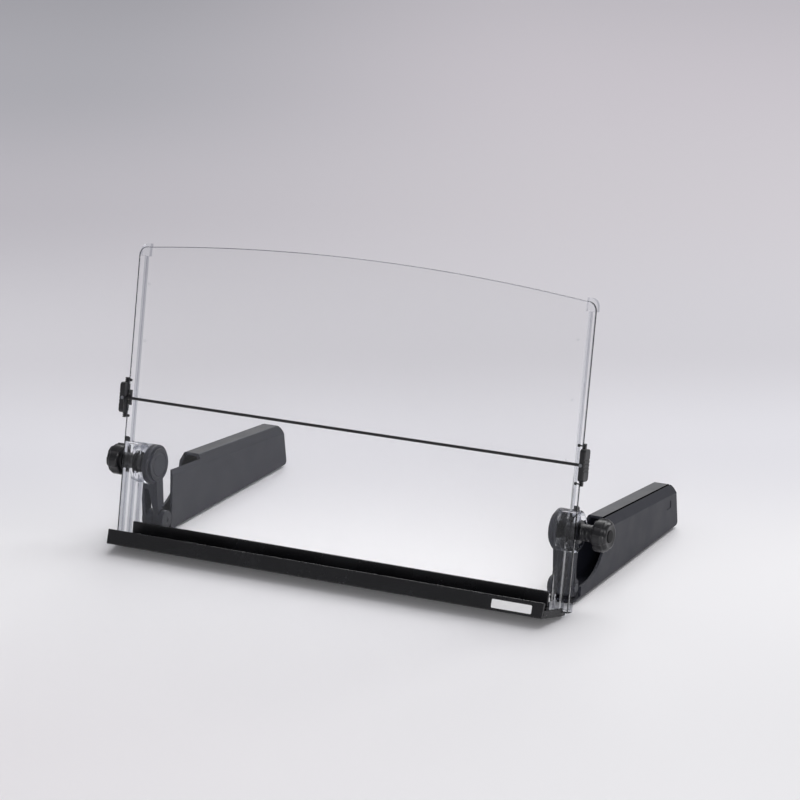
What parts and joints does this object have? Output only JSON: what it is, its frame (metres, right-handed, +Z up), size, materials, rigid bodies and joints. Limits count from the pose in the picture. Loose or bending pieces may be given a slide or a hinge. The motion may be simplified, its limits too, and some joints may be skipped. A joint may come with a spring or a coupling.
{
  "type": "copy holder",
  "caption": "Desk copy holder: clear tilting panel with a black tray along its foot, on two legs with clamp knobs, and a thin line guide rod that slides up and down the panel.",
  "frame": {"origin": "middle of the bounding box in plan, on the desk under the feet", "axes": "+X across the width to the right as the user sees it, +Y to the back, +Z up"},
  "size_m": [0.506, 0.2948, 0.2798],
  "materials": {
    "clear_acrylic": "polished clear acrylic",
    "tray_black": "moulded, satin to gloss",
    "charcoal_plastic": "moulded, fine texture",
    "black_plastic": "moulded, satin",
    "black_steel": "black painted rod",
    "zinc_steel": "zinc plated",
    "washer_nylon": "nylon",
    "brass": "turned",
    "foot_rubber": "moulded",
    "white_label": "plain film, blank"
  },
  "bodies": {
    "base": {"left_leg_inner_shell": "charcoal_plastic", "left_leg_outer_shell": "charcoal_plastic", "right_leg_inner_shell": "charcoal_plastic", "right_leg_outer_shell": "charcoal_plastic", "leg_dowels": "washer_nylon", "rubber_feet": "foot_rubber", "toe_pins": "zinc_steel"},
    "arms": {"left_arm": "charcoal_plastic", "right_arm": "charcoal_plastic", "left_hub_cap": "charcoal_plastic", "right_hub_cap": "charcoal_plastic", "clamp_bolts": "zinc_steel", "hub_washers": "washer_nylon"},
    "panel": {"clear_panel": "clear_acrylic", "left_side_rail": "clear_acrylic", "right_side_rail": "clear_acrylic", "document_tray": "tray_black", "sheet_clips": "clear_acrylic", "blank_label": "white_label", "guide_studs": "clear_acrylic", "guide_stops": "black_plastic"},
    "guide": {"guide_rod": "black_steel", "left_slider": "black_plastic", "right_slider": "black_plastic", "slider_pins": "black_steel", "rod_screws": "zinc_steel"},
    "left_knob": {"left_knob": "black_plastic", "left_knob_insert": "brass", "left_knob_cap": "black_plastic"},
    "right_knob": {"right_knob": "black_plastic", "right_knob_insert": "brass", "right_knob_cap": "black_plastic"}
  },
  "joints": [
    {"name": "arm_swing", "type": "hinge", "parent": "base", "child": "arms", "pos_m": [0, -0.07811, 0.014], "axis": [-1, 0, 0], "range_deg": [0, 25]},
    {"name": "panel_tilt", "type": "hinge", "parent": "arms", "child": "panel", "pos_m": [0, -0.08011, 0.06704], "axis": [-1, 0, 0], "range_deg": [0, 58.5]},
    {"name": "guide_slide", "type": "slide", "parent": "panel", "child": "guide", "axis": [0, 0.2113, 0.9774], "range_m": [-0.015, 0.1]},
    {"name": "left_knob_turn", "type": "hinge", "parent": "arms", "child": "left_knob", "pos_m": [-0.24, -0.08011, 0.06704], "axis": [-1, 0, 0], "range_deg": [0, 360]},
    {"name": "right_knob_turn", "type": "hinge", "parent": "arms", "child": "right_knob", "pos_m": [0.24, -0.08011, 0.06704], "axis": [1, 0, 0], "range_deg": [0, 360]}
  ]
}
